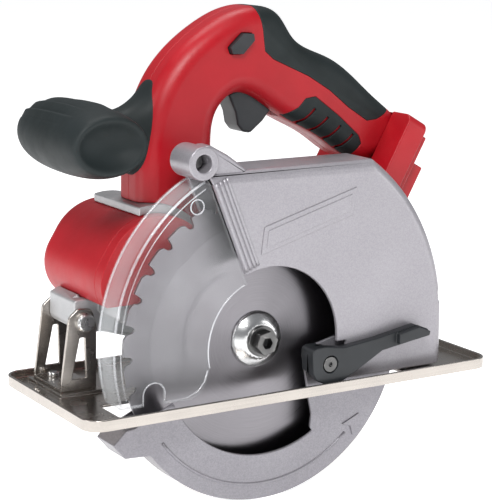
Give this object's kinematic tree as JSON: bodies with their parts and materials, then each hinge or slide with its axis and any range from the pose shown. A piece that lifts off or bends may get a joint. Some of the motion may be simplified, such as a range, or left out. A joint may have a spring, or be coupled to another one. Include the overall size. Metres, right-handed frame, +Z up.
{
  "type": "circular saw",
  "caption": "Bare cordless circular saw with blade, upper and retracting lower guard, tilting shoe, loop handle with trigger and a front knob.",
  "frame": {"origin": "on the sole of the shoe, under the blade axis, in the parting plane of the handle", "axes": "+X to the rear of the saw, +Y to the motor side (the blade is on the -Y side), +Z up from the work"},
  "size_m": [0.276, 0.128, 0.2851],
  "materials": {
    "red_plastic": "fine textured moulded plastic",
    "black_rubber": "soft matt overmould",
    "black_plastic": "moulded plastic",
    "silver_paint": "metallic silver paint",
    "cast_grey": "as cast",
    "guard_grey": "grey paint",
    "stainless": "pressed, polished",
    "blade_steel": "radially brushed",
    "dark_steel": "black oxide",
    "bright_steel": "ground",
    "clear_plastic": "clear polycarbonate",
    "copper": "bare copper",
    "magnet": "ferrite"
  },
  "bodies": {
    "saw_body": {"battery_foot": "red_plastic", "boss_screw": "dark_steel", "brush_holders": "copper", "carbon_brushes": "magnet", "clamp_bolt": "bright_steel", "clear_guard": "clear_plastic", "gear_case": "cast_grey", "gear_case_cover": "cast_grey", "gear_case_screws": "dark_steel", "grip_overmould": "black_rubber", "handle_saddle": "cast_grey", "handle_screws": "dark_steel", "handle_shell_left": "red_plastic", "handle_shell_right": "red_plastic", "idler_bushes": "copper", "magnets": "magnet", "motor_can": "dark_steel", "motor_front_bearing": "bright_steel", "motor_front_ring": "red_plastic", "motor_housing": "red_plastic", "motor_rear_bearing": "bright_steel", "pommel_core": "black_plastic", "pommel_grip": "black_rubber", "side_pads": "black_rubber", "spindle_front_bearing": "bright_steel", "spindle_rear_bearing": "bright_steel", "terminal_blades": "copper", "terminal_block": "black_plastic", "trigger_spring": "bright_steel", "trigger_switch": "black_plastic", "upper_guard": "silver_paint"},
    "spindle_set": {"spindle": "bright_steel", "spindle_gear": "dark_steel", "inner_flange": "dark_steel", "outer_flange": "bright_steel", "blade_washer": "dark_steel", "blade_bolt": "dark_steel", "blade": "blade_steel"},
    "idler_set": {"idler_shaft": "bright_steel", "idler_small_gear": "dark_steel", "idler_large_gear": "dark_steel"},
    "armature_set": {"motor_shaft": "bright_steel", "motor_pinion": "bright_steel", "armature_core": "dark_steel", "armature_windings": "copper", "commutator": "copper", "cooling_fan": "black_plastic"},
    "lower_guard_set": {"lower_guard": "guard_grey", "guard_lever": "black_plastic", "lever_screw": "dark_steel", "guard_return_spring": "bright_steel"},
    "shoe_set": {"shoe": "stainless", "front_bracket": "stainless", "shoe_rivets": "bright_steel", "depth_pivot_pin": "bright_steel", "depth_quadrant": "stainless"},
    "depth_lever": {"depth_lock_lever": "black_plastic"},
    "trigger": {"trigger": "black_plastic"},
    "lock_off": {"lock_off_button": "black_plastic"},
    "spindle_lock": {"spindle_lock_button": "black_plastic"}
  },
  "joints": [
    {"name": "blade_spin", "type": "hinge", "parent": "saw_body", "child": "spindle_set", "pos_m": [0, -0.042, 0.0312], "axis": [0, 1, 0], "continuous": true},
    {"name": "idler_spin", "type": "hinge", "parent": "saw_body", "child": "idler_set", "pos_m": [-0.0283, -0.0184, 0.05214], "axis": [0, 1, 0], "continuous": true},
    {"name": "motor_spin", "type": "hinge", "parent": "saw_body", "child": "armature_set", "pos_m": [-0.05643, 0.02, 0.07296], "axis": [0, 1, 0], "continuous": true},
    {"name": "lower_guard_swing", "type": "hinge", "parent": "saw_body", "child": "lower_guard_set", "pos_m": [0, -0.042, 0.0312], "axis": [0, -1, 0], "range_deg": [0, 100], "stiffness_Nm_per_rad": 0.35, "springref_deg": -34.38},
    {"name": "depth_pivot", "type": "hinge", "parent": "saw_body", "child": "shoe_set", "pos_m": [-0.092, 0.014, 0.044], "axis": [0, 1, 0], "range_deg": [0, 22]},
    {"name": "depth_lock", "type": "hinge", "parent": "saw_body", "child": "depth_lever", "pos_m": [0.06513, -0.0165, 0.02748], "axis": [0, -1, 0], "range_deg": [0, 60]},
    {"name": "trigger_pull", "type": "slide", "parent": "saw_body", "child": "trigger", "axis": [0.35, 0, 0.9367], "range_m": [0, 0.006], "stiffness_N_per_m": 700, "springref_m": -0.002, "deforming": ["trigger_spring"]},
    {"name": "lock_off_press", "type": "slide", "parent": "saw_body", "child": "lock_off", "axis": [0, 1, 0], "range_m": [-0.003, 0.003], "stiffness_N_per_m": 500},
    {"name": "spindle_lock_press", "type": "slide", "parent": "saw_body", "child": "spindle_lock", "axis": [0, -1, 0], "range_m": [0, 0.005], "stiffness_N_per_m": 600, "springref_m": -0.001}
  ],
  "couplings": [
    {"joint": "idler_spin", "follows": "blade_spin", "ratio": -1.75},
    {"joint": "motor_spin", "follows": "blade_spin", "ratio": 6.4167}
  ]
}
